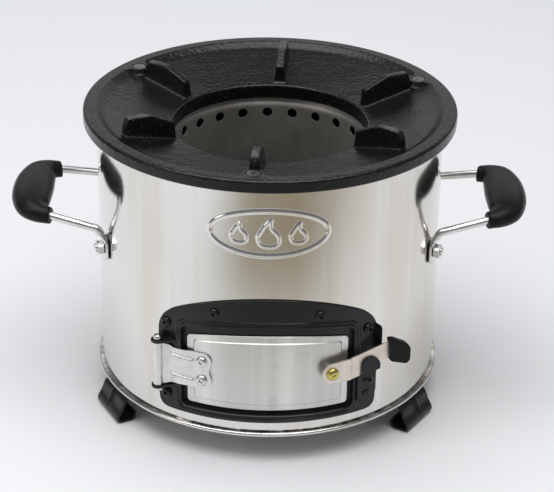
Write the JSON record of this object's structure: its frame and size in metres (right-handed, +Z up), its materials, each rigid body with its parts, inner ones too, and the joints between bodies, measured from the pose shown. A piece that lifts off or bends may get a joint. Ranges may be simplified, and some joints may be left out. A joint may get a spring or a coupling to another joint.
{
  "type": "rocket stove",
  "caption": "Round steel wood stove with a ribbed cast-iron pot ring, a latched hinged feed door, side bail handles and short bent-plate feet.",
  "frame": {"origin": "on the floor at the stove's vertical axis, the middle of its bounding box's bottom face", "axes": "+Z up, the feed door faces -Y, the two side handles lie along X"},
  "size_m": [0.3918, 0.2798, 0.24],
  "materials": {
    "stainless": "polished stainless sheet",
    "brushed_door": "vertically brushed",
    "chamber_steel": "satin heat-resisting steel",
    "zinc_steel": "bright zinc plate",
    "nickel": "pale nickel plate",
    "yellow_zinc": "yellow zinc plate",
    "cast_iron": "black enamelled rough casting",
    "black_enamel": "satin black",
    "black_plastic": "satin moulded",
    "mineral_wool": "loose fibre"
  },
  "bodies": {
    "root": {"body_shell": "stainless", "base_plate": "stainless", "top_ring": "cast_iron", "ring_screw_1": "zinc_steel", "ring_bracket_1": "zinc_steel", "ring_screw_2": "zinc_steel", "ring_bracket_2": "zinc_steel", "ring_screw_3": "zinc_steel", "ring_bracket_3": "zinc_steel", "combustion_chamber": "chamber_steel", "grate_ledge": "chamber_steel", "insulation": "mineral_wool", "insulation_base": "mineral_wool", "feed_tunnel": "chamber_steel", "door_frame": "black_enamel", "frame_screw_1": "black_enamel", "frame_screw_2": "black_enamel", "frame_screw_3": "black_enamel", "frame_screw_4": "black_enamel", "frame_screw_5": "black_enamel", "frame_screw_6": "black_enamel", "catch_rivet": "black_enamel", "hinge_pin": "zinc_steel", "hinge_pin_nut": "zinc_steel", "latch_catch": "black_enamel", "handle_rod_right": "stainless", "handle_grip_right": "black_plastic", "handle_bolt_right_front": "zinc_steel", "handle_nut_right_front": "zinc_steel", "handle_bolt_right_back": "zinc_steel", "handle_nut_right_back": "zinc_steel", "handle_rod_left": "stainless", "handle_grip_left": "black_plastic", "handle_bolt_left_front": "zinc_steel", "handle_nut_left_front": "zinc_steel", "handle_bolt_left_back": "zinc_steel", "handle_nut_left_back": "zinc_steel", "foot_front_left": "black_enamel", "foot_rivet_front_left": "zinc_steel", "foot_front_right": "black_enamel", "foot_rivet_front_right": "zinc_steel", "foot_back": "black_enamel", "foot_rivet_back": "zinc_steel"},
    "door": {"door_panel": "brushed_door", "hinge_strap": "zinc_steel", "strap_rivet_1": "zinc_steel", "strap_rivet_2": "zinc_steel", "latch_screw": "yellow_zinc", "latch_spacer": "zinc_steel", "latch_nut": "zinc_steel"},
    "latch": {"latch_lever": "nickel", "latch_knob": "black_plastic"},
    "grate": {"fuel_grate": "cast_iron"}
  },
  "joints": [
    {"name": "door_hinge", "type": "hinge", "parent": "root", "child": "door", "pos_m": [-0.08041, -0.11191, 0.073], "axis": [0, 0, -1], "range_deg": [0, 150]},
    {"name": "latch_turn", "type": "hinge", "parent": "door", "child": "latch", "pos_m": [0.04629, -0.12682, 0.0739], "axis": [0.3429, -0.9394, 0], "range_deg": [0, 65]},
    {"name": "grate_lift", "type": "slide", "parent": "root", "child": "grate", "axis": [0, 0, 1], "range_m": [0, 0.2]}
  ]
}
